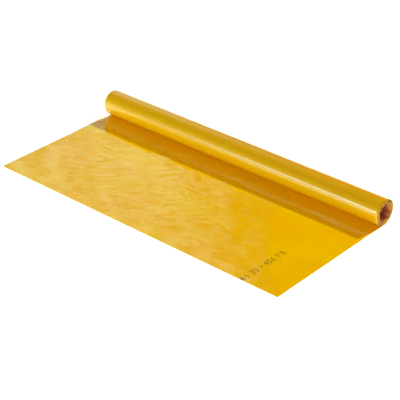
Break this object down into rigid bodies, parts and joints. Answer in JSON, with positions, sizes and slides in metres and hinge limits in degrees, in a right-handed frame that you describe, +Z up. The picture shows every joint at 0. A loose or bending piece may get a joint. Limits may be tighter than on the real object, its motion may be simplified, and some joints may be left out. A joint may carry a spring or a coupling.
{
  "type": "welding curtain film roll",
  "caption": "Coreless roll of glossy see-through amber welding-curtain film with its first stretch rolled out flat; the roll travels and turns as the film is laid or wound.",
  "frame": {"origin": "on the floor, in the middle of the whole object's width and depth", "axes": "+X along the roll, +Y from the film's free edge towards the roll, +Z up"},
  "size_m": [1.4029, 0.6797, 0.1073],
  "materials": {
    "laid_film": "calendered see-through PVC film, one layer, glossy",
    "wound_film": "calendered see-through PVC film, wound in many layers, glossy",
    "inner_film": "the same film at the dark inside of the roll, kinked"
  },
  "bodies": {
    "laid_film": {"laid_sheet": "laid_film"},
    "lift_off": {"lift_off_length": "laid_film"},
    "roll": {"wound_turn_01": "wound_film", "wound_turn_02": "wound_film", "wound_turn_03": "wound_film", "wound_turn_04": "wound_film", "wound_turn_05": "wound_film", "wound_turn_06": "wound_film", "wound_turn_07": "wound_film", "wound_turn_08": "wound_film", "wound_turn_09": "wound_film", "wound_turn_10": "wound_film", "wound_turn_11": "wound_film", "wound_turn_12": "wound_film", "kinked_turn": "inner_film", "inner_tail": "inner_film"}
  },
  "joints": [
    {"name": "roll_travel", "type": "slide", "parent": "laid_film", "child": "lift_off", "axis": [0, 1, 0], "range_m": [-0.25, 0.3]},
    {"name": "roll_turn", "type": "hinge", "parent": "lift_off", "child": "roll", "pos_m": [0, 0.28645, 0.0542], "axis": [1, 0, 0], "range_deg": [-318.4, 265.3]}
  ],
  "couplings": [
    {"joint": "roll_turn", "follows": "roll_travel", "rad_per_m": -18.518}
  ]
}
